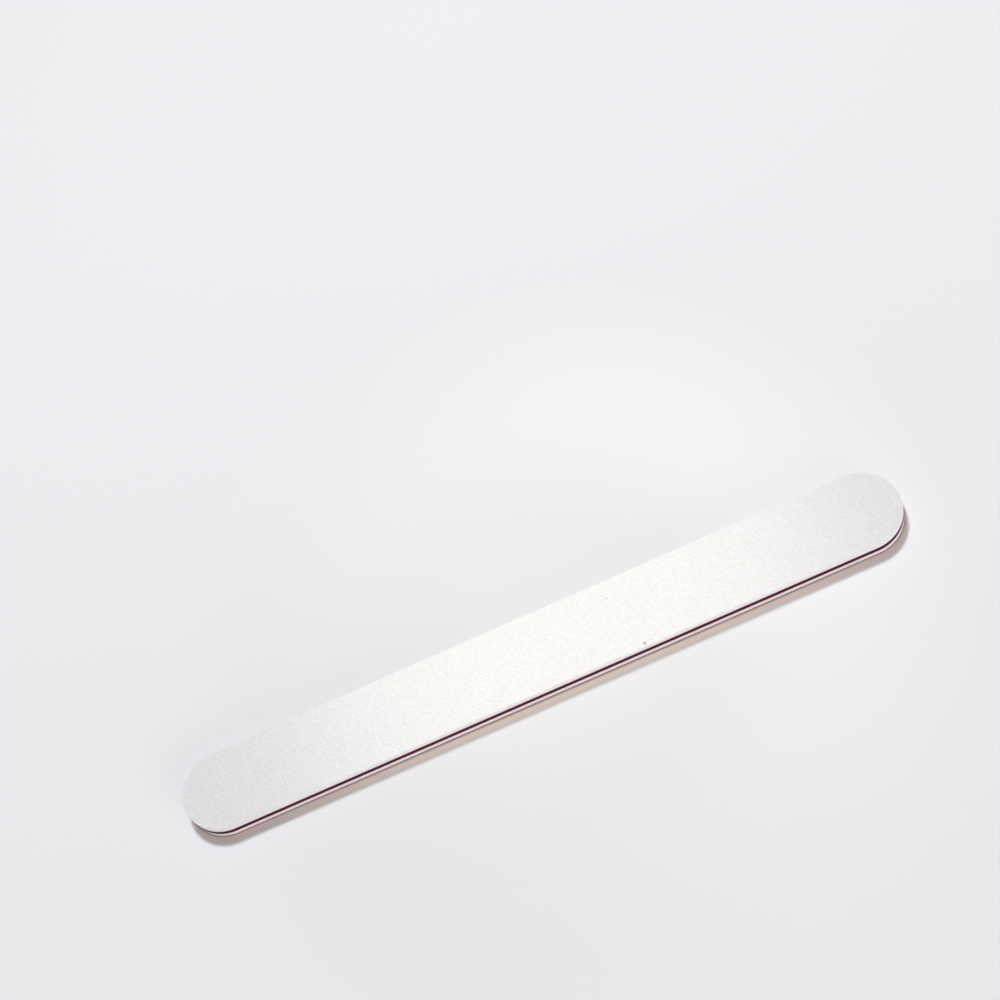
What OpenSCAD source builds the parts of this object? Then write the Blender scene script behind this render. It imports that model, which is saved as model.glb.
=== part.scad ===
// Straight padded emery board: a stiff plastic core strip with a foam cushion on
// each side, and a sheet of abrasive paper on the outside of each cushion.
// All layers are die-cut together, so they share one outline with full round ends.
// The origin is the centre of the underside, +X is along the length, +Z is up.

/* [Outline] */
// Length over the two round ends
board_l = 178; // [120:1:200]
// Width, which is also the diameter of the round ends
board_w = 19.5; // [12:0.5:30]

/* [Layers] */
// Thickness of the plastic core strip
core_t = 1.1; // [0.5:0.1:2]
// Thickness of each foam cushion
foam_t = 1.1; // [0.5:0.05:3]
// Thickness of each adhesive film
glue_t = 0.05; // [0.03:0.01:0.1]
// Thickness of each backing paper
paper_t = 0.25; // [0.2:0.05:0.4]
// Thickness of each abrasive coat, over its tallest grains
grit_t = 0.15; // [0.1:0.01:0.2]

/* [Cut edge] */
// Bevel that the die leaves on both corners of the core's edge
core_bevel = 0.08; // [0.02:0.01:0.2]
// Depth to which the edge of the foam is drawn in at half its height
foam_draw = 0.14; // [0.02:0.01:0.3]
// Distance from the outline to the edge of the adhesive films
glue_inset = 0.1; // [0.02:0.01:0.3]
// Radius with which the die rolls the outer corner over, through the coat into the paper
corner_round = 0.25; // [0.2:0.01:0.3]

/* [Smoothness] */
// Number of sides of a full circle in the round ends
end_sides = 128; // [32:8:200]
// Number of steps in each curved stretch of an edge profile
edge_steps = 8; // [4:1:16]

/* [Hidden] */

// Radius of the round ends, and length of the straight run between their centres
end_r = board_w / 2;
run_l = board_l - board_w;

// Heights of the layers, counted outwards from the middle plane of the core
core_glue_h = core_t / 2;
foam_h = core_glue_h + glue_t;
paper_glue_h = foam_h + foam_t;
paper_h = paper_glue_h + glue_t;
grit_h = paper_h + paper_t;
half_t = grit_h + grit_t;

// Centre of the rolled corner's arc, with the height counted from the paper's inner face,
// and the angle at which the arc passes from the paper into the coat
corner_r = end_r - corner_round;
corner_h = paper_t + grit_t - corner_round;
coat_angle = asin((paper_t - corner_h) / corner_round);

// Edge profiles. Each is the right half of a layer's cross-section, as points
// [distance from the long axis, height above the layer's inner face], from the bottom up.

// Stretch of the rolled corner between two angles, with the height counted from base
function corner_arc(from, to, base) = [
    for (i = [0:edge_steps])
        let (a = from + (to - from) * i / edge_steps)
        [corner_r + corner_round * cos(a), corner_h + corner_round * sin(a) - base],
];

// Core: square cut with a small bevel on both corners
function core_profile() = [
    [0, -core_t / 2],
    [end_r - core_bevel, -core_t / 2],
    [end_r, -core_t / 2 + core_bevel],
    [end_r, core_t / 2 - core_bevel],
    [end_r - core_bevel, core_t / 2],
    [0, core_t / 2],
];

// Adhesive film: a plain square cut
function glue_profile() = [
    [0, 0],
    [end_r - glue_inset, 0],
    [end_r - glue_inset, glue_t],
    [0, glue_t],
];

// Foam: the side is drawn in as a parabola, deepest at half height
function foam_profile() = [
    [0, 0],
    for (i = [0:edge_steps])
        let (u = i / edge_steps)
        [end_r - foam_draw * 4 * u * (1 - u), foam_t * u],
    [0, foam_t],
];

// Backing paper: square cut, then the first stretch of the rolled corner
function paper_profile() = [
    [0, 0],
    [end_r, 0],
    each corner_arc(0, coat_angle, 0),
    [0, paper_t],
];

// Abrasive coat: its edge is the rest of the rolled corner
function grit_profile() = [
    [0, 0],
    each corner_arc(coat_angle, 90, paper_t),
    [0, grit_t],
];

// Whole cross-section of a layer: the right half, and the same points mirrored
function both_sides(half) = let (side = [for (p = half) if (p[0] > 0) p]) concat(
    side,
    [for (i = [len(side) - 1:-1:0]) [-side[i][0], side[i][1]]]
);

// A layer with the board's outline: a straight run of the edge profile, and the same
// profile turned through half a circle at each end
module layer(profile) {
    rotate([90, 0, 90])
        linear_extrude(height = run_l, center = true)
            polygon(both_sides(profile));
    for (end = [0, 180])
        rotate([0, 0, end])
            translate([run_l / 2, 0, 0])
                rotate([0, 0, -90])
                    rotate_extrude(angle = 180, $fn = end_sides)
                        polygon(profile);
}

// Places a layer on the upper side of the core, at a height above the middle plane
module upper(height) {
    translate([0, 0, half_t + height]) children();
}

// Places a layer on the lower side, turned over
module lower(height) {
    translate([0, 0, half_t - height]) mirror([0, 0, 1]) children();
}

module core_strip() {
    color("#5c1436") translate([0, 0, half_t]) layer(core_profile());
}

module upper_core_glue() {
    color("#dcd2d6") upper(core_glue_h) layer(glue_profile());
}

module lower_core_glue() {
    color("#dcd2d6") lower(core_glue_h) layer(glue_profile());
}

module upper_foam() {
    color("#eedee4") upper(foam_h) layer(foam_profile());
}

module lower_foam() {
    color("#eedee4") lower(foam_h) layer(foam_profile());
}

module upper_paper_glue() {
    color("#dcd2d6") upper(paper_glue_h) layer(glue_profile());
}

module lower_paper_glue() {
    color("#dcd2d6") lower(paper_glue_h) layer(glue_profile());
}

module upper_paper() {
    color("#dddad9") upper(paper_h) layer(paper_profile());
}

module lower_paper() {
    color("#dddad9") lower(paper_h) layer(paper_profile());
}

module upper_grit_coat() {
    color("#f6f5f4") upper(grit_h) layer(grit_profile());
}

module lower_grit_coat() {
    color("#f6f5f4") lower(grit_h) layer(grit_profile());
}

core_strip();
upper_core_glue();
lower_core_glue();
upper_foam();
lower_foam();
upper_paper_glue();
lower_paper_glue();
upper_paper();
lower_paper();
upper_grit_coat();
lower_grit_coat();
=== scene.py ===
import math

import bpy
import numpy as np
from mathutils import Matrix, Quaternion, Vector


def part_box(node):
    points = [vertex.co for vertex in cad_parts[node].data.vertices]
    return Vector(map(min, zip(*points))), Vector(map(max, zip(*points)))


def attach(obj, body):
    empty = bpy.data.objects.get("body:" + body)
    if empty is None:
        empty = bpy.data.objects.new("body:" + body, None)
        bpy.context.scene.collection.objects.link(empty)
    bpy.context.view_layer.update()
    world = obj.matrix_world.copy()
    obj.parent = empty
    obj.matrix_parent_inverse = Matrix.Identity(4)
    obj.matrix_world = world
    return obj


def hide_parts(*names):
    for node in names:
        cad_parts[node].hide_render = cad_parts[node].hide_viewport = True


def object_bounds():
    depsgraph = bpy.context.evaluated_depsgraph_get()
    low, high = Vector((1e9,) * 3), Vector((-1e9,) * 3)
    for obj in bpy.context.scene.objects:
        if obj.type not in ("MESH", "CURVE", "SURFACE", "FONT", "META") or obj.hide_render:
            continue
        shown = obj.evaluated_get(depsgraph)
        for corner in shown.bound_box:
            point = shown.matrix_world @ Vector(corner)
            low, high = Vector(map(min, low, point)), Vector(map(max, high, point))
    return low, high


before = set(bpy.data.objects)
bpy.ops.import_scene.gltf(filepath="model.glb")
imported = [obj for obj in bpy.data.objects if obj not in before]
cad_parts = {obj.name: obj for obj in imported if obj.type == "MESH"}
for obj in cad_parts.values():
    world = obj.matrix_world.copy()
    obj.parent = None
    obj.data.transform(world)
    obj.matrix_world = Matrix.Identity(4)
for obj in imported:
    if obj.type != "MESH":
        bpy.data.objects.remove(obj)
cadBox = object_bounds()

# Emery board, dressed layer by layer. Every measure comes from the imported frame. The settings are in
# millimetres where no note says otherwise, and mm turns them into metres where they are used.
mm = 0.001
low, high = cadBox
endRadius = (high.y - low.y) / 2
runLength = (high.x - low.x) - 2 * endRadius
midHeight = (high.z + low.z) / 2
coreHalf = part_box("core_strip")[1].z - midHeight
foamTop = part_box("upper_foam")[1].z - midHeight
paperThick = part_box("upper_paper")[1].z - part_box("upper_paper")[0].z
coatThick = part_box("upper_grit_coat")[1].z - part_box("upper_grit_coat")[0].z
print("frame loaded, board is", [round(extent / mm, 2) for extent in high - low], "mm")


# Outline, and the random patterns that the layers share

chanceSet = {
    "column": 374761393,
    "row": 668265263,
    "seed": 2147001,
    "rounds": ((13, 1274126177), (16, 2246822519)),  # bits to shift by, and the factor that follows
    "lastShift": 15,
    "limit": 0xFFFFFFFF,
}


def makeOutline(step):
    # A point at distance r from the long axis is its spine point plus r times its normal. Along the two
    # straight sides the spine point travels, round the two ends it stands still and the normal turns.
    arcSteps = round(math.pi * endRadius / step)
    runSteps = round(runLength / step)
    turn = (np.arange(arcSteps + 1) / arcSteps - 0.5) * math.pi
    travel = (np.arange(runSteps + 1) - runSteps / 2) * (runLength / runSteps)
    rightEnd = np.stack([np.cos(turn), np.sin(turn)], 1)
    spine = np.concatenate([
        np.full(arcSteps + 1, runLength / 2), travel[::-1][1:],
        np.full(arcSteps, -runLength / 2), travel[1:]])
    normal = np.concatenate([
        rightEnd, np.tile([0.0, 1.0], (runSteps, 1)),
        -rightEnd[1:], np.tile([0.0, -1.0], (runSteps, 1))])
    arcStride = np.full(arcSteps, math.pi * endRadius / arcSteps)
    runStride = np.full(runSteps, runLength / runSteps)
    length = np.cumsum(np.concatenate([[0], arcStride, runStride, arcStride, runStride]))
    return {"spine": spine, "normal": normal, "length": length}


def loopCell(outline, size):
    # The cell size nearest to the wanted one that goes round the outline a whole number of times, and
    # that number, so that a pattern meets itself where the outline closes.
    total = outline["length"][-1]
    count = round(total / size)
    return total / count, count


def scatter(column, row, seed):
    # Repeatable random numbers from 0 to 1, one for each cell of an endless grid: the cell's column, row
    # and seed are mixed into a 32-bit number by odd multipliers and shifts.
    s = chanceSet
    value = column.astype(np.int64) * s["column"] + row.astype(np.int64) * s["row"]
    value = (value + seed * s["seed"]) & s["limit"]
    for shift, factor in s["rounds"]:
        value = ((value ^ (value >> shift)) * factor) & s["limit"]
    return (value ^ (value >> s["lastShift"])) / s["limit"]


def smooth(share):
    # Eases from 0 to 1 with level ends: three times the square less twice the cube.
    return share * share * (3 - 2 * share)


def softNoise(x, y, cell, seed, loop=0):
    # Random heights at the corners of a square grid, blended between them. Runs from -1 to 1, and
    # repeats after loop columns if loop is given.
    column, row = np.floor(x / cell), np.floor(y / cell)
    easeX, easeY = smooth(x / cell - column), smooth(y / cell - row)
    nextColumn = column + 1
    if loop:
        column, nextColumn = column % loop, nextColumn % loop
    near = scatter(column, row, seed) * (1 - easeX) + scatter(nextColumn, row, seed) * easeX
    far = scatter(column, row + 1, seed) * (1 - easeX) + scatter(nextColumn, row + 1, seed) * easeX
    return (near * (1 - easeY) + far * easeY) * 2 - 1


def ripple(outline, size, seed):
    # Smooth random values from 0 to 1 along the outline.
    cell, count = loopCell(outline, size)
    return 0.5 + 0.5 * softNoise(outline["length"], np.zeros(len(outline["length"])), cell, seed, count)


def neighbours(x, y, cell, loop=0):
    # For each point: its own grid cell and the eight round it, with the point's place counted from
    # that cell's corner, in cells.
    column, row = np.floor(x / cell), np.floor(y / cell)
    for dx in (-1, 0, 1):
        for dy in (-1, 0, 1):
            placeX, placeY = x / cell - column - dx, y / cell - row - dy
            yield (column + dx) % loop if loop else column + dx, row + dy, placeX, placeY


def turned(offX, offY, angle):
    # The same offset counted along and across a direction that is turned by the angle.
    cosine, sine = np.cos(angle), np.sin(angle)
    return offX * cosine + offY * sine, offY * cosine - offX * sine


# The outer corner, which the die rolls over through the coat and into the paper

cornerSet = {"radius": 0.25}
cornerRadius = cornerSet["radius"] * mm
cornerHeight = paperThick + coatThick - cornerRadius
coatAngle = math.asin((paperThick - cornerHeight) / cornerRadius)


def rolledCorner(fromAngle, toAngle, steps):
    # Points on a quarter circle: how far each lies inside the outline, as a negative number, and its
    # height above the paper's inner face.
    angle = np.linspace(fromAngle, toAngle, steps)
    return cornerRadius * (np.cos(angle) - 1), cornerHeight + cornerRadius * np.sin(angle)


# Mesh of a layer: a profile swept round the outline

meshSet = {
    "weld": 1e-6,    # points that are closer than this become one
    "crease": 40.0,  # degrees, from which an edge is shown sharp
}


def layerHeights(node):
    # Inner and outer height of a layer, and the direction away from the core: 1 above it, -1 below.
    bottom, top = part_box(node)
    if (bottom.z + top.z) / 2 >= midHeight:
        return bottom.z, top.z, 1
    return top.z, bottom.z, -1


def sweep(outline, radius, height):
    # Carries a profile round the outline: radius and height hold a value for each outline sample (rows)
    # and each profile point (columns), or only one row that serves all samples.
    radius = np.broadcast_to(radius, (len(outline["spine"]), np.shape(radius)[-1]))
    x = outline["spine"][:, None] + outline["normal"][:, :1] * radius
    y = outline["normal"][:, 1:] * radius
    return np.stack([x, y, np.broadcast_to(height, radius.shape)], -1)


def cutTriangles(rows, columns):
    # Each grid square becomes two triangles, with the diagonal changing sides from square to square.
    corner = np.arange(rows * columns).reshape(rows, columns)
    a, b, c, d = corner[:-1, :-1], corner[1:, :-1], corner[1:, 1:], corner[:-1, 1:]
    even = (np.add.outer(np.arange(rows - 1), np.arange(columns - 1)) % 2 == 0)[..., None]
    oneHalf = np.where(even, np.stack([a, b, c], -1), np.stack([a, b, d], -1))
    otherHalf = np.where(even, np.stack([a, c, d], -1), np.stack([b, c, d], -1))
    return np.concatenate([oneHalf.reshape(-1, 3), otherHalf.reshape(-1, 3)])


def makePiece(name, grid, outline, look, node, marks=None):
    # Closes a swept grid into one shell: equal points are merged, triangles that shrank to a line at the
    # long axis are dropped, and the shell is turned outwards if its volume comes out negative.
    grid[-1] = grid[0]
    points = grid.reshape(-1, 3)
    places = np.round(points / (meshSet["weld"] * mm)).astype(np.int64)
    first, merged = np.unique(places, axis=0, return_index=True, return_inverse=True)[1:]
    faces = cutTriangles(*grid.shape[:2])
    ids = merged.reshape(-1)[faces]
    sound = (ids[:, 0] != ids[:, 1]) & (ids[:, 1] != ids[:, 2]) & (ids[:, 2] != ids[:, 0])
    faces, ids = faces[sound], ids[sound]
    corners = points[first][ids]
    if np.einsum("ij,ij->i", corners[:, 0], np.cross(corners[:, 1], corners[:, 2])).sum() < 0:
        faces, ids = faces[:, ::-1], ids[:, ::-1]

    mesh = bpy.data.meshes.new(name)
    mesh.vertices.add(len(first))
    mesh.vertices.foreach_set("co", points[first].ravel())
    mesh.loops.add(ids.size)
    mesh.loops.foreach_set("vertex_index", ids.astype(np.int32).ravel())
    mesh.polygons.add(len(ids))
    mesh.polygons.foreach_set("loop_start", np.arange(0, ids.size, 3, dtype=np.int32))
    mesh.update(calc_edges=True)
    profileWalk = np.linalg.norm(np.diff(grid[0], axis=0), axis=1)
    across = np.concatenate([[0], np.cumsum(profileWalk)])
    uv = np.stack(np.meshgrid(outline["length"], across, indexing="ij"), -1).reshape(-1, 2)
    mesh.uv_layers.new(name="alongEdge").data.foreach_set("uv", uv[faces.ravel()].ravel())
    for mark, values in (marks or {}).items():
        spot = mesh.attributes.new(mark, "FLOAT", "POINT")
        spot.data.foreach_set("value", values.reshape(-1)[first].astype(np.float32))
    mesh.shade_smooth()
    mesh.set_sharp_from_angle(angle=math.radians(meshSet["crease"]))

    piece = bpy.data.objects.new(name, mesh)
    bpy.context.scene.collection.objects.link(piece)
    piece.data.materials.append(look)
    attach(piece, "root")
    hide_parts(node)
    print(name, len(ids), "triangles")
    return piece


# Shader maths as plain expressions, and one way to add any node


class Wire:
    def __init__(self, socket):
        self.socket = socket

    def calc(self, operation, first, second):
        tree = self.socket.id_data
        node = tree.nodes.new("ShaderNodeMath")
        node.operation = operation
        for place, value in enumerate((first, second)):
            if isinstance(value, Wire):
                tree.links.new(value.socket, node.inputs[place])
            else:
                node.inputs[place].default_value = value
        return Wire(node.outputs[0])

    def __add__(self, other):
        return self.calc("ADD", self, other)

    def __radd__(self, other):
        return self.calc("ADD", other, self)

    def __sub__(self, other):
        return self.calc("SUBTRACT", self, other)

    def __rsub__(self, other):
        return self.calc("SUBTRACT", other, self)

    def __mul__(self, other):
        return self.calc("MULTIPLY", self, other)

    def __rmul__(self, other):
        return self.calc("MULTIPLY", other, self)

    def __gt__(self, other):
        return self.calc("GREATER_THAN", self, other)

    def __abs__(self):
        return self.calc("ABSOLUTE", self, 0.0)


class Nodes:
    def __init__(self, owner):
        owner.use_nodes = True
        self.owner = owner
        self.tree = owner.node_tree
        self.tree.nodes.clear()

    def add(self, kind, settings=None, inputs=None, out=0):
        # Any node: its type, its settings, then the values or wires of its sockets.
        node = self.tree.nodes.new(kind)
        for key, value in (settings or {}).items():
            setattr(node, key, value)
        for key, value in (inputs or {}).items():
            if isinstance(value, Wire):
                self.tree.links.new(value.socket, node.inputs[key])
            else:
                node.inputs[key].default_value = value
        return Wire(node.outputs[out]) if len(node.outputs) else None

    def place(self):
        return self.add("ShaderNodeTexCoord", out="Object")

    def axis(self, vector, name):
        return self.add("ShaderNodeSeparateXYZ", None, {"Vector": vector}, out=name)

    def length(self, vector):
        return self.add("ShaderNodeVectorMath", {"operation": "LENGTH"}, {0: vector}, out="Value")

    def alongEdge(self, scale):
        # Place along and across the edge's strip, with a scale for each, so that a pattern is drawn out.
        strip = self.add("ShaderNodeUVMap", {"uv_map": "alongEdge"})
        return self.add("ShaderNodeMapping", None, {"Vector": strip, "Scale": scale})

    def mark(self, name):
        return self.add("ShaderNodeAttribute", {"attribute_name": name}, out="Fac")

    def noise(self, vector, size, detail=2.0, roughness=0.5, flat=False):
        return self.add("ShaderNodeTexNoise", {"noise_dimensions": "2D" if flat else "3D"},
                        {"Vector": vector, "Scale": 1 / (size * mm), "Detail": detail,
                         "Roughness": roughness})

    def cells(self, vector, size, smoothness=0.0, out="Distance"):
        # Distance to the nearest of scattered points. The ridges between them are rounded off if a
        # smoothness is given.
        inputs = {"Vector": vector, "Scale": 1 / (size * mm)}
        if smoothness:
            inputs["Smoothness"] = smoothness
        return self.add("ShaderNodeTexVoronoi", {"feature": "SMOOTH_F1" if smoothness else "F1"}, inputs, out)

    def clamp(self, value):
        return self.add("ShaderNodeClamp", None, {"Value": value})

    def ease(self, value, start, stop, first, last):
        # Runs from first to last while the value goes from start to stop, with level ends.
        return self.add("ShaderNodeMapRange", {"interpolation_type": "SMOOTHSTEP"},
                        {"Value": value, "From Min": start, "From Max": stop, "To Min": first,
                         "To Max": last})

    def mix(self, factor, first, second):
        # Sockets 0, 6 and 7 are the factor and the two colours, and output 2 is the mixed colour.
        return self.add("ShaderNodeMix", {"data_type": "RGBA"}, {0: factor, 6: first, 7: second}, out=2)

    def bump(self, height, strength, distance):
        return self.add("ShaderNodeBump", None,
                        {"Height": height, "Strength": strength, "Distance": distance * mm})

    def finish(self, inputs):
        shader = self.add("ShaderNodeBsdfPrincipled", None, inputs)
        self.add("ShaderNodeOutputMaterial", None, {"Surface": shader})
        return self.owner


def paint(red, green, blue):
    # A screen colour from 0 to 255, as the linear colour that shaders take.
    linear = [((v / 255 + 0.055) / 1.055) ** 2.4 for v in (red, green, blue)]
    return (*linear, 1.0)


# Abrasive coat

gritSet = {
    "step": 0.215,           # sampling along and across the face
    "clumpSize": 0.78,       # pebbly unevenness of the coat
    "clumpHeight": 0.034,
    "grainSize": 0.36,       # the coarsest grains
    "grainHeight": 0.048,
    "grainWidth": (0.45, 0.4),   # least half width of a grain in cells, and what chance adds
    "grainRise": (0.35, 0.65),   # the same for its share of the full height
    "grainOblong": 1.25,     # how much longer than wide it is
    "grainBlunt": 1.5,       # above 1 its top is cut off flat
    "dust": 0.007,           # random height from sample to sample
    "dustSize": 0.21,
    "cornerSteps": 7,
    "chip": 0.06,            # how far the edge is broken back at most
    "chips": [(0.6, 0.6, 2), (0.25, 0.4, 1)],   # length, share of the depth and sharpness
    "fleckFade": (1.6, 1.2),     # darkness of a dark grain's middle, and its loss for each half size
    # Dark grains: place along and across, half length, half width, turn in radians and darkness
    "upperFlecks": [(22.95, -8.9, 0.42, 0.17, 1.9, 1.0), (19.0, 5.3, 0.26, 0.2, 0.4, 0.4),
                    (-50.9, -5.5, 0.22, 0.16, 1.2, 0.3), (-34.6, -3.2, 0.2, 0.16, 2.6, 0.25),
                    (61.0, 3.4, 0.2, 0.14, 0.9, 0.25)],
    "lowerFlecks": [(-41.0, 6.1, 0.28, 0.2, 0.7, 0.5), (12.5, -2.8, 0.22, 0.16, 1.9, 0.3),
                    (70.2, 1.6, 0.2, 0.16, 2.4, 0.25)],
    "white": paint(250, 249, 249),
    "shade": paint(239, 238, 239),
    "resin": paint(246, 243, 244),
    "fleckColour": paint(84, 76, 72),
    "mottleSize": 0.7,       # patterns of the shade, and how much each adds to it
    "mottleShade": 0.8,
    "toneSize": 0.2,         # one tone for each grain
    "toneShade": 0.3,
    "cloudSize": 14.0,
    "cloudShade": 0.25,
    # painted shade in the hollows of the relief
    "paintedHollowShade": 0.6,
    "paleness": 0.42,        # what is taken off the sum
    "pebbleSize": 0.5,       # unevenness that is too fine for the mesh
    "pebbleHeight": 0.27,
    "pitSize": 0.11,
    "pitHeight": 0.03,
    "rough": 0.92,
    "glintFrom": 0.95,       # grains with a chance above this glint
    "glintGloss": 0.45,
    "specular": 0.4,
}


def grains(x, y, cell, seed):
    # One grain to each grid cell, at a random place, with a random width, height and turn. A grain is a
    # blunt pyramid: its height falls with the larger of the two distances along its own turned axes.
    s = gritSet
    leastWidth, moreWidth = s["grainWidth"]
    leastRise, moreRise = s["grainRise"]
    top = np.zeros(np.broadcast(x, y).shape)
    for column, row, placeX, placeY in neighbours(x, y, cell):
        offX = placeX - scatter(column, row, seed)
        offY = placeY - scatter(column, row, seed + 1)
        alongGrain, acrossGrain = turned(offX, offY, scatter(column, row, seed + 2) * math.pi)
        width = leastWidth + moreWidth * scatter(column, row, seed + 3)
        rise = leastRise + moreRise * scatter(column, row, seed + 4)
        fall = np.maximum(np.abs(alongGrain), np.abs(acrossGrain) * s["grainOblong"]) / width
        top = np.maximum(top, rise * np.clip(s["grainBlunt"] * (1 - fall), 0, 1))
    return top


def darkGrains(x, y, flecks):
    # Darkness of the dark grains: full round each middle, and falling with the distance in half sizes.
    darkest, loss = gritSet["fleckFade"]
    fleck = np.zeros(np.broadcast(x, y).shape)
    for fleckX, fleckY, halfLength, halfWidth, turn, darkness in flecks:
        alongFleck, acrossFleck = turned(x / mm - fleckX, y / mm - fleckY, turn)
        away = np.hypot(alongFleck / halfLength, acrossFleck / halfWidth)
        fleck = np.maximum(fleck, darkness * np.clip(darkest - loss * away, 0, 1))
    return fleck


def makeGritLook():
    # White resin and grain: every grain has its own tone, and the hollows between them are painted greyer as
    # shade.
    s = gritSet
    look = Nodes(bpy.data.materials.new("whiteGrit"))
    place = look.place()
    grainColour = look.cells(place, s["toneSize"], out="Color")
    grainTone, glintChance = [look.add("ShaderNodeSeparateColor", None, {"Color": grainColour}, out=channel)
                              for channel in ("Red", "Green")]
    mottle = look.noise(place, s["mottleSize"])
    cloud = look.noise(place, s["cloudSize"])
    shading = mottle * s["mottleShade"] - s["paleness"] + (grainTone - 0.5) * s["toneShade"]
    # Painted shade: the hollow mark greys the hollows between the grains
    shading = shading + cloud * s["cloudShade"] + look.mark("hollow") * s["paintedHollowShade"]
    colour = look.mix(look.clamp(shading), s["white"], s["shade"])
    colour = look.mix(look.mark("cut"), colour, s["resin"])
    colour = look.mix(look.mark("fleck"), colour, s["fleckColour"])
    pebble = look.noise(place, s["pebbleSize"], detail=1.5)
    relief = pebble * s["pebbleHeight"] - look.cells(place, s["pitSize"]) * s["pitHeight"]
    glint = glintChance > s["glintFrom"]
    return look.finish({
        "Base Color": colour,
        "Roughness": s["rough"] - glint * s["glintGloss"],
        "Normal": look.bump(relief, strength=1.0, distance=1.0),
        "Specular IOR Level": s["specular"]})


def makeGritCoat(node, look, seed, flecks):
    # The edge follows the rolled corner, less what is broken off. On the face the tallest grains reach the
    # frame's height, and the relief is the sum of clumps, grains and dust, all counted downwards.
    s = gritSet
    outline = makeOutline(s["step"] * mm)
    inner, outer, side = layerHeights(node)
    thick = abs(outer - inner)
    broken = 0
    for number, (size, share, sharpness) in enumerate(s["chips"]):
        gaps = np.clip(2 * ripple(outline, size * mm, seed + number) - 1, 0, 1)
        broken = broken + share * gaps ** sharpness
    reach, rise = rolledCorner(coatAngle, math.pi / 2, s["cornerSteps"])
    level = np.linspace(0, 1, s["cornerSteps"])
    edge = endRadius + reach - s["chip"] * mm * broken[:, None] * (1 - level)
    faceRadius = endRadius - cornerRadius
    inward = np.linspace(faceRadius, 0, round(faceRadius / (s["step"] * mm)) + 1)[1:]
    rows = len(broken)
    radius = np.concatenate([np.tile([0, endRadius / 2], (rows, 1)), edge, np.tile(inward, (rows, 1))], 1)
    height = np.concatenate([[0, 0], rise - paperThick, np.full(len(inward), thick)])
    flatness = np.concatenate([[0, 0], level, np.ones(len(inward))])
    grid = sweep(outline, radius, height)
    x, y = grid[..., 0], grid[..., 1]
    relief = (s["clumpHeight"] * (softNoise(x, y, s["clumpSize"] * mm, seed + 3) - 1) / 2
              + s["grainHeight"] * (grains(x, y, s["grainSize"] * mm, seed + 4) - 1)
              + s["dust"] * (softNoise(x, y, s["dustSize"] * mm, seed + 9) - 1) / 2) * flatness
    fleck = darkGrains(x, y, flecks)
    grid[..., 2] = inner + side * (height + relief * mm)
    # Mark for the painted shade in the relief's hollows
    hollow = np.clip(-relief / (s["clumpHeight"] + s["grainHeight"]), 0, 1)
    cut = np.broadcast_to((1 - flatness) ** 2, radius.shape)
    return makePiece(node + "_face", grid, outline, look, node,
                     {"fleck": fleck, "hollow": hollow, "cut": cut})


# Backing paper

paperSet = {
    "step": 0.24,            # sampling along the edge
    "cornerSteps": 4,
    "fuzz": 0.02,            # how far fibres make the cut edge uneven
    "fraySize": 0.3,         # short fibres, and their share in that
    "frayShare": 0.6,
    "waveSize": 1.3,         # slow waviness, which has the rest
    "white": paint(250, 248, 248),
    "shade": paint(236, 232, 234),
    "fibreSize": 0.06,       # streaks in the finish, drawn out along the edge
    "fibreScale": (0.12, 1, 1),
    "fibreShade": 1.4,
    "fibreRelief": 0.02,
    "speckSize": 0.5,
    "speckShade": 0.3,
    "paleness": 0.3,         # what is taken off the sum of the shades
    "rough": 0.85,
    "speckRough": 0.1,
    "specular": 0.4,
}


def makePaperLook():
    # Cut paper: streaks of fibre along the edge, lighter and darker.
    s = paperSet
    look = Nodes(bpy.data.materials.new("backingPaper"))
    fibre = look.noise(look.alongEdge(s["fibreScale"]), s["fibreSize"], detail=3.0, roughness=0.65, flat=True)
    speck = look.noise(look.place(), s["speckSize"])
    shading = fibre * s["fibreShade"] - s["paleness"] + speck * s["speckShade"]
    return look.finish({
        "Base Color": look.mix(look.clamp(shading), s["white"], s["shade"]),
        "Roughness": s["rough"] + speck * s["speckRough"],
        "Normal": look.bump(fibre, strength=0.5, distance=s["fibreRelief"]),
        "Specular IOR Level": s["specular"]})


def makePaper(node, look, seed):
    # Profile: flat underneath, square up from the foam, the first stretch of the rolled corner, flat on top.
    s = paperSet
    outline = makeOutline(s["step"] * mm)
    inner, outer, side = layerHeights(node)
    thick = abs(outer - inner)
    arc, rise = rolledCorner(0, coatAngle, s["cornerSteps"])
    reach = np.concatenate([[-endRadius, -endRadius / 2, 0, 0], arc,
                            [-2 * cornerRadius, -endRadius / 2, -endRadius]])
    height = np.concatenate([[0, 0, 0, cornerHeight / 2], rise, [thick, thick, thick]])
    nearEdge = np.clip(1 + reach / cornerRadius, 0, 1)
    cell, count = loopCell(outline, s["fraySize"] * mm)
    frayed = np.abs(softNoise(outline["length"][:, None], height[None, :], cell, seed, count))
    wavy = ripple(outline, s["waveSize"] * mm, seed + 1)[:, None]
    uneven = s["frayShare"] * frayed + (1 - s["frayShare"]) * wavy
    radius = endRadius + reach - s["fuzz"] * mm * uneven * nearEdge
    grid = sweep(outline, radius, inner + side * height)
    return makePiece(node + "_sheet", grid, outline, look, node)


# Foam cushion

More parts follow.
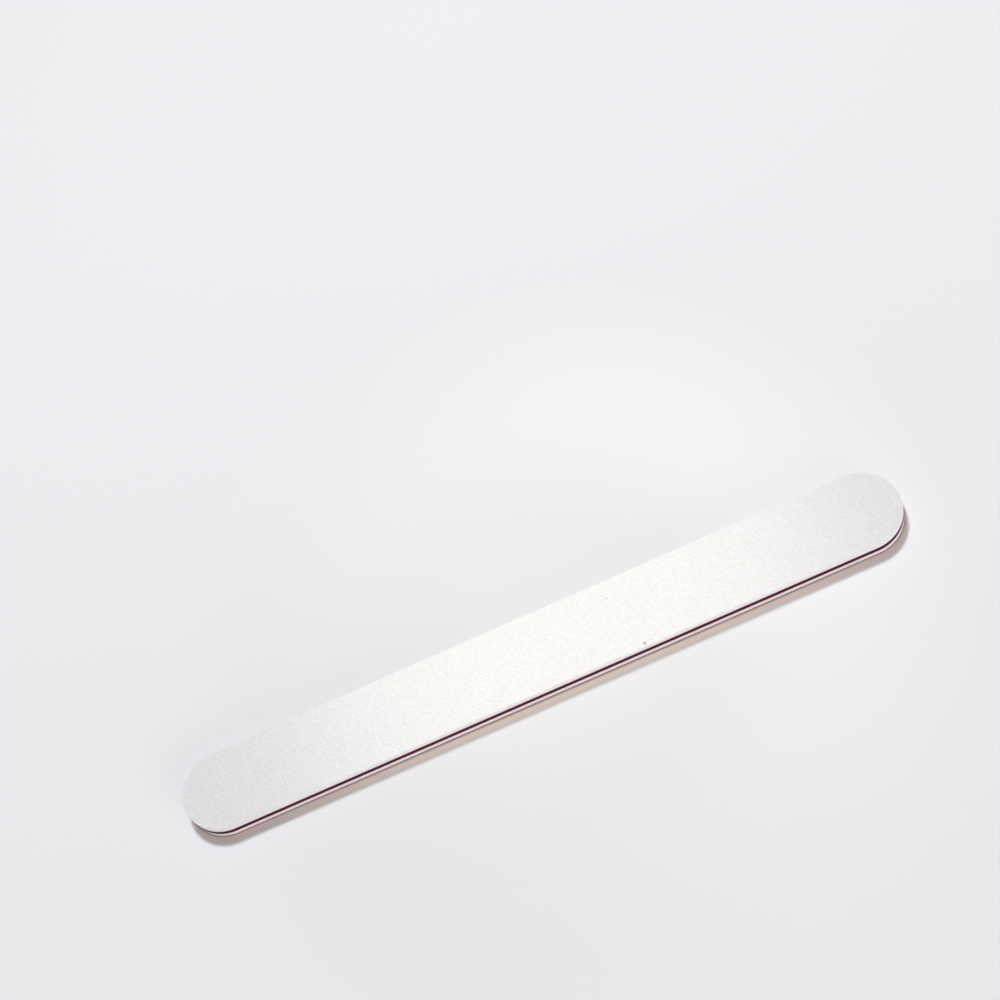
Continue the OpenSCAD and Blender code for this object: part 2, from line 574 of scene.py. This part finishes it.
foamSet = {
    "step": 0.125,           # sampling along the edge
    "rows": 15,              # samples up the edge
    "drawIn": 0.06,          # how far the cut edge is drawn in at half its height
    "rimDepth": 0.6,         # the edge's rim on the two flat faces
    "cellSize": 0.22,        # cut-open cells
    "cellWidth": (0.3, 0.35),    # least half width of a hollow in cells, and what chance adds
    "cellShare": 0.6,
    "cellDepth": 0.09,
    "cellRise": 12,          # how steeply their depth rises from a bond line
    "sway": 0.03,            # slow waviness of the cut
    "swaySize": 2.2,
    "pale": paint(252, 244, 247),
    "pink": paint(235, 198, 209),
    "pinkShare": (0.55, 0.5),    # how pink the foam is at least beside the core, and what mottling adds
    "smear": paint(112, 50, 76),
    "smearReach": 0.32,      # how far the die drags the core's colour over the upper foam
    "lowerShadeStretch": 0.55,       # painted shade: distances count this much on the lower foam, so its pink tint and smear reach further and it looks darker and pinker
    # painted shade for the open cells, also reached at random by the mottle
    "cellShadeAndMottle": paint(226, 206, 213),
    "hollowMark": 1.6,       # brings the depth of the open cells to a mark that ends near 1
    "paintedHollowShade": 0.8,
    "mottleSize": 0.7,
    "mottleShade": 0.3,
    "skinSize": 0.12,        # closed cells in the finish
    "skinSmooth": 0.3,
    "skinRelief": 0.04,
    "rough": 0.95,
    "mottleRough": 0.1,
    "specular": 0.3,
}


def pits(x, y, cell, loop, seed):
    # Cut-open foam cells: a round hollow in a share of the grid cells, as deep as a ball of its width.
    s = foamSet
    leastWidth, moreWidth = s["cellWidth"]
    depth = np.zeros(np.broadcast(x, y).shape)
    for column, row, placeX, placeY in neighbours(x, y, cell, loop):
        offX = placeX - scatter(column, row, seed)
        offY = placeY - scatter(column, row, seed + 1)
        width = leastWidth + moreWidth * scatter(column, row, seed + 2)
        cutOpen = scatter(column, row, seed + 3) < s["cellShare"]
        bowl = np.sqrt(np.clip(1 - (offX**2 + offY**2) / width**2, 0, 1))
        depth = np.maximum(depth, bowl * width * cutOpen)
    return depth


def makeFoamLook():
    # Closed-cell foam: painted light tints it pink beside the core, which shines through it, painted shade
    # darkens its open cells, and its lower side is painted darker and pinker.
    s = foamSet
    look = Nodes(bpy.data.materials.new("paleFoam"))
    place = look.place()
    heightUp = look.axis(place, "Z")
    upperSide = heightUp > midHeight
    # Painted shade: on the lower foam the distance from the core is shortened, so the tint and smear reach
    # further there
    shadeStretch = s["lowerShadeStretch"] + upperSide * (1 - s["lowerShadeStretch"])
    awayFromCore = coreHalf + (abs(heightUp - midHeight) - coreHalf) * shadeStretch
    # Painted light: pink beside the core, which shines through the foam
    tint = look.ease(awayFromCore, coreHalf, (coreHalf + foamTop) / 2, 1.0, 0.0)
    smear = look.ease(awayFromCore, coreHalf, coreHalf + s["smearReach"] * mm, 1.0, 0.0)
    mottle = look.noise(place, s["mottleSize"], detail=3.0, roughness=0.6)
    leastPink, morePink = s["pinkShare"]
    colour = look.mix(tint * (leastPink + mottle * morePink), s["pale"], s["pink"])
    colour = look.mix(smear, colour, s["smear"])
    # Painted shade: darker in the open cells, and darker or lighter at random with the mottle
    shading = look.mark("hollow") * s["paintedHollowShade"] + (mottle - 0.5) * s["mottleShade"]
    colour = look.mix(look.clamp(shading), colour, s["cellShadeAndMottle"])
    skin = look.cells(place, s["skinSize"], s["skinSmooth"])
    return look.finish({
        "Base Color": colour,
        "Roughness": s["rough"] - mottle * s["mottleRough"],
        "Normal": look.bump(skin, strength=0.5, distance=s["skinRelief"]),
        "Specular IOR Level": s["specular"]})


def makeFoam(node, look, seed):
    # Edge radius: a shallow parabola between the two bond lines, less the open cells and a slow sway.
    s = foamSet
    outline = makeOutline(s["step"] * mm)
    inner, outer, side = layerHeights(node)
    thick = abs(outer - inner)
    share = np.linspace(0, 1, s["rows"])
    bow = 4 * share * (1 - share)
    along, upEdge = outline["length"][:, None], share[None, :] * thick
    cell, count = loopCell(outline, s["cellSize"] * mm)
    hollow = pits(along, upEdge, cell, count, seed)
    hollow = hollow * np.clip(np.minimum(share, 1 - share) * s["cellRise"], 0, 1)
    swayCell, swayCount = loopCell(outline, s["swaySize"] * mm)
    sway = 0.5 + 0.5 * softNoise(along, upEdge, swayCell, seed + 7, swayCount)
    reach = -(s["drawIn"] * bow + s["cellDepth"] * hollow + s["sway"] * sway * bow) * mm
    inside = [-endRadius, -endRadius / 2, -s["rimDepth"] * mm]
    flat = len(inside)
    inside = np.tile(inside, (len(along), 1))
    radius = endRadius + np.concatenate([inside, reach, inside[:, ::-1]], 1)
    height = np.concatenate([np.zeros(flat), share * thick, np.full(flat, thick)])
    grid = sweep(outline, radius, inner + side * height)
    marks = np.zeros(radius.shape)
    # The hollow mark carries the painted shade of the open cells
    marks[:, flat:-flat] = hollow * s["hollowMark"]
    piece = makePiece(node + "_cushion", grid, outline, look, node, {"hollow": marks})
    return piece


# Core strip

coreSet = {
    "step": 0.24,            # sampling along the edge
    "bevel": 0.08,
    "dieLine": 0.012,        # depth of the upright lines that the die leaves
    "dieSize": 0.3,          # and their distance
    "plum": paint(72, 13, 37),
    "dark": paint(50, 9, 27),
    "patchSize": 4.0,
    "patchShade": 1.6,
    "paleness": 0.35,        # what is taken off that shade
    "stressed": paint(94, 38, 60),
    "stressReach": 0.06,     # band along the corners that is paler
    "stressShare": 0.3,
    "lineSize": 0.07,        # fine lines in the finish, drawn out up the edge
    "lineScale": (1, 0.05, 1),
    "lineRelief": 0.02,
    "rough": 0.5,
    "lineRough": 0.2,
    "specular": 0.15,
}


def makeCoreLook():
    # Die-cut plastic: upright cutting lines, and a paler band where the corners were pressed.
    s = coreSet
    look = Nodes(bpy.data.materials.new("plumPlastic"))
    place = look.place()
    awayFromMiddle = abs(look.axis(place, "Z") - midHeight)
    pressed = look.ease(awayFromMiddle, coreHalf - s["stressReach"] * mm, coreHalf, 0.0, s["stressShare"])
    lines = look.noise(look.alongEdge(s["lineScale"]), s["lineSize"], roughness=0.7, flat=True)
    shading = look.noise(place, s["patchSize"]) * s["patchShade"] - s["paleness"]
    colour = look.mix(look.clamp(shading), s["plum"], s["dark"])
    return look.finish({
        "Base Color": look.mix(pressed, colour, s["stressed"]),
        "Roughness": s["rough"] + lines * s["lineRough"],
        "Normal": look.bump(lines, strength=0.6, distance=s["lineRelief"]),
        "Specular IOR Level": s["specular"]})


def makeCore(node, look, seed):
    # Profile: a square cut with a small bevel at both corners, roughened by upright die lines.
    s = coreSet
    outline = makeOutline(s["step"] * mm)
    bottom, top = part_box(node)
    bevel = s["bevel"] * mm
    face = np.array([-endRadius, -endRadius / 2, -2 * bevel, -bevel])
    reach = np.concatenate([face, [0, 0, 0], face[::-1]])
    upright = [bottom.z + bevel, midHeight, top.z - bevel]
    height = np.concatenate([np.full(len(face), bottom.z), upright, np.full(len(face), top.z)])
    dieLines = np.abs(2 * ripple(outline, s["dieSize"] * mm, seed) - 1)[:, None]
    radius = endRadius + reach - s["dieLine"] * mm * dieLines * (reach == 0)
    grid = sweep(outline, radius, height)
    return makePiece(node + "_cut", grid, outline, look, node)


# Adhesive films keep their shape, and only their finish is new

glueSet = {
    "clear": paint(226, 214, 219),
    "hazy": paint(206, 190, 198),
    "hazeSize": 2.0,
    "rough": 0.35,
    "hazeRough": 0.2,
}


def makeGlueLook():
    # Clear film with cloudy patches, which are also duller.
    s = glueSet
    look = Nodes(bpy.data.materials.new("adhesiveFilm"))
    haze = look.noise(look.place(), s["hazeSize"])
    return look.finish({
        "Base Color": look.mix(haze, s["clear"], s["hazy"]),
        "Roughness": s["rough"] + haze * s["hazeRough"]})


gritLook = makeGritLook()
paperLook = makePaperLook()
foamLook = makeFoamLook()
coreLook = makeCoreLook()
glueLook = makeGlueLook()
print("finishes made")

seedSet = {"core": 11, "foam": 101, "paper": 103, "grit": 107, "lower": 50}   # the lower side adds the last

makeCore("core_strip", coreLook, seedSet["core"])
for sideName, moved in (("upper", 0), ("lower", seedSet["lower"])):
    makeFoam(sideName + "_foam", foamLook, seedSet["foam"] + moved)
    makePaper(sideName + "_paper", paperLook, seedSet["paper"] + moved)
    makeGritCoat(sideName + "_grit_coat", gritLook, seedSet["grit"] + moved, gritSet[sideName + "Flecks"])
    for film in ("_core_glue", "_paper_glue"):
        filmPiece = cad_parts[sideName + film]
        filmPiece.data.materials.clear()
        filmPiece.data.materials.append(glueLook)
print("layers made")


# Floor

floorSet = {
    "size": 12.0,                     # metres
    "drop": 0.01,                     # gap under the board, so that the two surfaces never share a plane
    "colour": paint(252, 252, 253),
    "drift": paint(254, 254, 255),
    "driftSize": 250.0,
    "rough": 0.8,
    "specular": 0.2,
    "backdrop": (0.82, 0.82, 0.835, 1.0),
    "fade": (0.10, 0.45),             # distances between which the floor runs into the backdrop, metres
    "pooled": paint(228, 228, 230),   # greyer near the middle, to even out the pool of light
    "poolReach": (0.03, 0.095),       # distances between which that eases out, metres
    "shaded": paint(243, 230, 225),   # warm light in the shadow, beside the front edge
    "shadedShift": 1.8,               # the outline that it follows is moved to the front by this
    "shadedReach": (-0.8, 0.7),       # and it eases out over this stretch across that outline
    "paintedContactShadow": paint(158, 137, 131),  # painted contact shadow, right at the foot
    "paintedContactShadowShift": 0.0,
    "paintedContactShadowReach": (-0.2, 0.55),
}


def seenRay(look):
    # 1 for a ray from the camera, a mirror-like reflection or a clear surface, 0 for one that lights.
    rays = ("Is Camera Ray", "Is Glossy Ray", "Is Transmission Ray")
    cameraRay, glossyRay, clearRay = [look.add("ShaderNodeLightPath", out=ray) for ray in rays]
    return look.clamp(cameraRay + glossyRay + clearRay)


def pastOutline(look, place, shift):
    # Distance outside the board's outline, which is moved to the front by the shift: the length of what is
    # left of the place past the straight run's middle line, less the radius of the round ends.
    beyondRun = abs(look.axis(place, "X")) - runLength / 2
    pastRun = look.add("ShaderNodeMath", {"operation": "MAXIMUM"}, {0: beyondRun, 1: 0.0})
    offset = look.add("ShaderNodeCombineXYZ", None, {"X": pastRun, "Y": look.axis(place, "Y") + shift * mm})
    return look.length(offset) - endRadius


def makeFloorLook():
    # Pale round the board, with painted shade where the pool of light falls, painted warm light in the shadow
    # in front and a painted contact shadow at the foot. Further out it eases into the backdrop's colour,
    # which only a seen ray meets, so that there is no horizon.
    s = floorSet
    look = Nodes(bpy.data.materials.new("paleFloor"))
    place = look.place()
    away = look.length(place)
    colour = look.mix(look.noise(place, s["driftSize"], detail=1.0), s["colour"], s["drift"])
    colour = look.mix(look.ease(away, *s["poolReach"], 1.0, 0.0), colour, s["pooled"])
    # Painted warm light in the shadow in front, and a painted contact shadow at the foot, both following the
    # outline
    for tint in ("shaded", "paintedContactShadow"):
        start, stop = s[tint + "Reach"]
        tinted = look.ease(pastOutline(look, place, s[tint + "Shift"]), start * mm, stop * mm, 1.0, 0.0)
        colour = look.mix(tinted, colour, s[tint])
    surface = look.add("ShaderNodeBsdfPrincipled", None, {
        "Base Color": colour, "Roughness": s["rough"], "Specular IOR Level": s["specular"]})
    glow = look.add("ShaderNodeEmission", None, {"Color": s["backdrop"]})
    gone = look.ease(away, *s["fade"], 0.0, 1.0) * seenRay(look)
    shown = look.add("ShaderNodeMixShader", None, {0: gone, 1: surface, 2: glow})
    look.add("ShaderNodeOutputMaterial", None, {"Surface": shown})
    return look.owner


def makeFloor():
    # One square, just under the board, which keeps the board's shadow.
    half = floorSet["size"] / 2
    height = low.z - floorSet["drop"] * mm
    mesh = bpy.data.meshes.new("floor")
    corners = [(-half, -half), (half, -half), (half, half), (-half, half)]
    mesh.from_pydata([(x, y, height) for x, y in corners], [], [(0, 1, 2, 3)])
    mesh.materials.append(makeFloorLook())
    floor = bpy.data.objects.new("floor", mesh)
    bpy.context.scene.collection.objects.link(floor)


makeFloor()


# Light: a small soft lamp high behind the board, which throws its shadow to the front, two broad ones low
# in front for the cut edge, a pool of light over the middle, and an even sky. Only one of the two in front
# casts a shadow, so that the shade behind the board stays faint. Places and sizes are in metres, powers in
# watts and angles in degrees.

frontLamp = {
    "kind": "AREA", "place": (0.92, -1.92, 0.53), "aim": (0, 0, 0), "size": 1.35,
    "colour": (1.0, 0.975, 0.97),
}

lampSet = {
    "key": {
        "kind": "AREA", "place": (0.10, 0.92, 1.54), "aim": (0, 0, 0), "size": 0.32,
        "colour": (0.945, 0.962, 1.0), "power": 19.0, "shadow": True,
    },
    "fill": {**frontLamp, "power": 14.5, "shadow": False},
    "shadingFill": {**frontLamp, "power": 11.0, "shadow": True},
    "pool": {
        "kind": "SPOT", "place": (0.008, 0.05, 0.52), "aim": (0.008, 0.005, 0), "size": 0.02,
        "colour": (1.0, 0.985, 0.82), "power": 2.8, "shadow": True, "cone": 19.0, "softness": 0.95,
    },
}

skySet = {"strength": 0.25, "colour": (1.0, 0.975, 0.965, 1.0)}


def makeLamp(name):
    # A round area lamp or a spot lamp, turned from its place towards its aim.
    s = lampSet[name]
    lamp = bpy.data.lights.new(name, s["kind"])
    if s["kind"] == "SPOT":
        lamp.spot_size = math.radians(s["cone"])
        lamp.spot_blend = s["softness"]
        lamp.shadow_soft_size = s["size"]
    else:
        lamp.shape = "DISK"
        lamp.size = s["size"]
    lamp.energy = s["power"]
    lamp.use_shadow = s["shadow"]
    lamp.color = s["colour"]
    holder = bpy.data.objects.new(name, lamp)
    holder.location = s["place"]
    holder.rotation_euler = (Vector(s["place"]) - Vector(s["aim"])).to_track_quat("Z", "Y").to_euler()
    holder.visible_camera = False
    bpy.context.scene.collection.objects.link(holder)


def makeSky():
    # The sky lights the board evenly. The camera and mirror-like reflections see the plain backdrop.
    s = skySet
    world = bpy.data.worlds.new("sky")
    bpy.context.scene.world = world
    sky = Nodes(world)
    lighting = sky.add("ShaderNodeBackground", None, {"Color": s["colour"], "Strength": s["strength"]})
    backdrop = sky.add("ShaderNodeBackground", None, {"Color": floorSet["backdrop"]})
    shown = sky.add("ShaderNodeMixShader", None, {0: seenRay(sky), 1: lighting, 2: backdrop})
    sky.add("ShaderNodeOutputWorld", None, {"Surface": shown})


for lampName in lampSet:
    makeLamp(lampName)
makeSky()


# Camera: the angle from which the photograph sees the board, in the board's own frame

cameraSet = {
    "aim": (4.73, 43.29, 0.0),   # where the picture's centre meets the floor
    "distance": 480.7,
    "azimuth": 5.38,             # degrees, as are the next two
    "elevation": 58.9,
    "roll": 28.45,
    "lens": 72.0,
    "sensor": 36.0,
    "nearest": 0.01,             # metres
}


def makeCamera():
    # The camera stands off from its aim along azimuth and elevation, and turns about its own line of sight.
    s = cameraSet
    azimuth, elevation = math.radians(s["azimuth"]), math.radians(s["elevation"])
    back = Vector((math.sin(azimuth) * math.cos(elevation), -math.cos(azimuth) * math.cos(elevation),
                   math.sin(elevation)))
    camera = bpy.data.objects.new("camera", bpy.data.cameras.new("camera"))
    camera.data.sensor_width = s["sensor"]
    camera.data.lens = s["lens"]
    camera.data.clip_start = s["nearest"]
    camera.location = Vector(s["aim"]) * mm + back * s["distance"] * mm
    level = (-back).to_track_quat("-Z", "Y")
    camera.rotation_mode = "QUATERNION"
    camera.rotation_quaternion = level @ Quaternion((0, 0, 1), -math.radians(s["roll"]))
    bpy.context.scene.collection.objects.link(camera)
    bpy.context.scene.camera = camera


makeCamera()
bpy.context.scene.view_settings.view_transform = "Standard"
print("floor, light and camera made")
